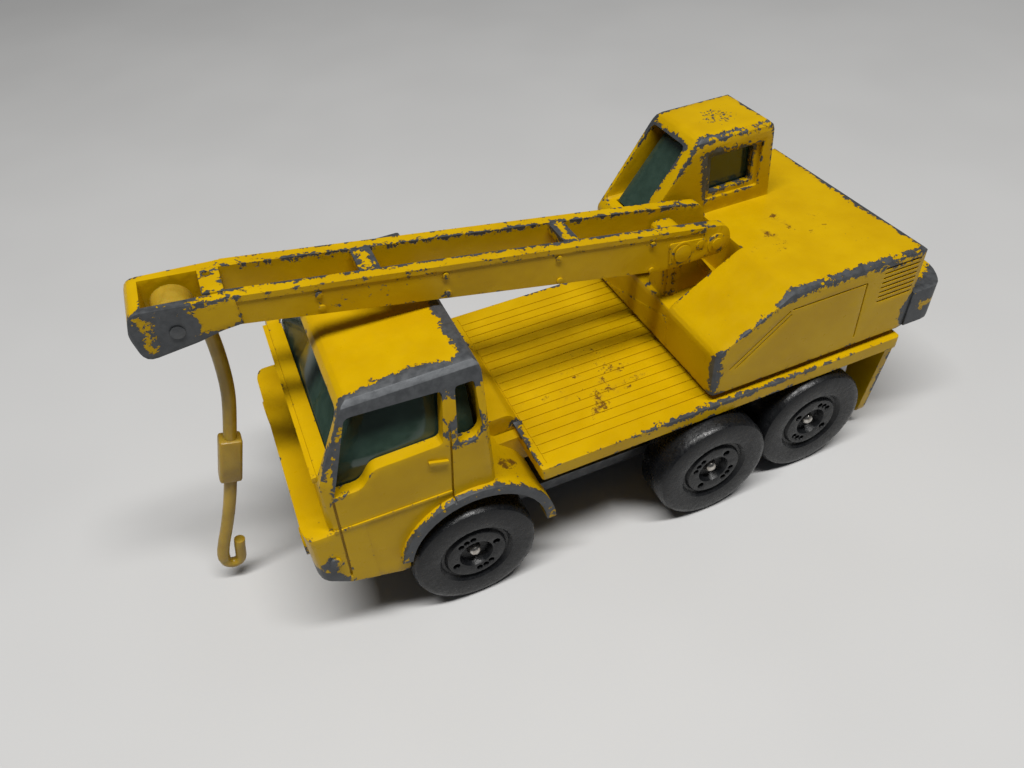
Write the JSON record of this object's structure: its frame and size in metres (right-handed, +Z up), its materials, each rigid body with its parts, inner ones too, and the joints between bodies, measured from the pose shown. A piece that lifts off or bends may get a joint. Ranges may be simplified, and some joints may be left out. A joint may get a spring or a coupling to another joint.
{
  "type": "toy crane truck",
  "caption": "Small die-cast toy crane truck with a slewing house, an open ladder boom and a swinging hook.",
  "frame": {"origin": "on the ground, under the middle of the truck's bounding box with the boom stowed forward", "axes": "+X to the front of the truck, +Y to its left, +Z up"},
  "size_m": [0.0726, 0.0264, 0.0332],
  "materials": {
    "yellow_enamel": "glossy yellow enamel on die-cast zinc, chipped to the metal along the edges",
    "bare_casting": "dull unpainted die-cast zinc",
    "axle_steel": "drawn wire with domed ends",
    "black_plastic": "scuffed satin black plastic",
    "green_glazing": "clear plastic tinted green",
    "ochre_plastic": "dull ochre plastic, slightly translucent"
  },
  "bodies": {
    "truck": {"truck_body": "yellow_enamel", "chassis_base": "bare_casting", "cab_glazing": "green_glazing", "front_base_rivet": "bare_casting", "rear_base_rivet": "bare_casting", "front_axle": "axle_steel", "middle_axle": "axle_steel", "rear_axle": "axle_steel"},
    "front_left": {"front_left_wheel": "black_plastic"},
    "front_right": {"front_right_wheel": "black_plastic"},
    "middle_left": {"middle_left_wheel": "black_plastic"},
    "middle_right": {"middle_right_wheel": "black_plastic"},
    "rear_left": {"rear_left_wheel": "black_plastic"},
    "rear_right": {"rear_right_wheel": "black_plastic"},
    "crane": {"crane_house": "yellow_enamel", "operator_cab_glazing": "green_glazing", "slew_rivet": "bare_casting", "boom_pivot_pin": "axle_steel"},
    "jib": {"boom": "yellow_enamel", "hook_pin": "bare_casting"},
    "tackle": {"hook": "ochre_plastic"}
  },
  "joints": [
    {"name": "crane_slew", "type": "hinge", "parent": "truck", "child": "crane", "pos_m": [-0.01777, 0, 0.0137], "axis": [0, 0, 1], "continuous": true},
    {"name": "boom_lift", "type": "hinge", "parent": "crane", "child": "jib", "pos_m": [-0.01098, 0, 0.02425], "axis": [0, -1, 0], "range_deg": [0, 60]},
    {"name": "hook_swing", "type": "hinge", "parent": "jib", "child": "tackle", "pos_m": [0.03072, 0, 0.031], "axis": [0, -1, 0], "range_deg": [-6, 70]},
    {"name": "front_left_spin", "type": "hinge", "parent": "truck", "child": "front_left", "pos_m": [0.01422, 0.0098, 0.00585], "axis": [0, 1, 0], "continuous": true},
    {"name": "front_right_spin", "type": "hinge", "parent": "truck", "child": "front_right", "pos_m": [0.01422, -0.0108, 0.00585], "axis": [0, 1, 0], "continuous": true},
    {"name": "middle_left_spin", "type": "hinge", "parent": "truck", "child": "middle_left", "pos_m": [-0.00988, 0.0108, 0.00585], "axis": [0, 1, 0], "continuous": true},
    {"name": "middle_right_spin", "type": "hinge", "parent": "truck", "child": "middle_right", "pos_m": [-0.00988, -0.0098, 0.00585], "axis": [0, 1, 0], "continuous": true},
    {"name": "rear_left_spin", "type": "hinge", "parent": "truck", "child": "rear_left", "pos_m": [-0.02198, 0.0098, 0.00585], "axis": [0, 1, 0], "continuous": true},
    {"name": "rear_right_spin", "type": "hinge", "parent": "truck", "child": "rear_right", "pos_m": [-0.02198, -0.0108, 0.00585], "axis": [0, 1, 0], "continuous": true}
  ]
}
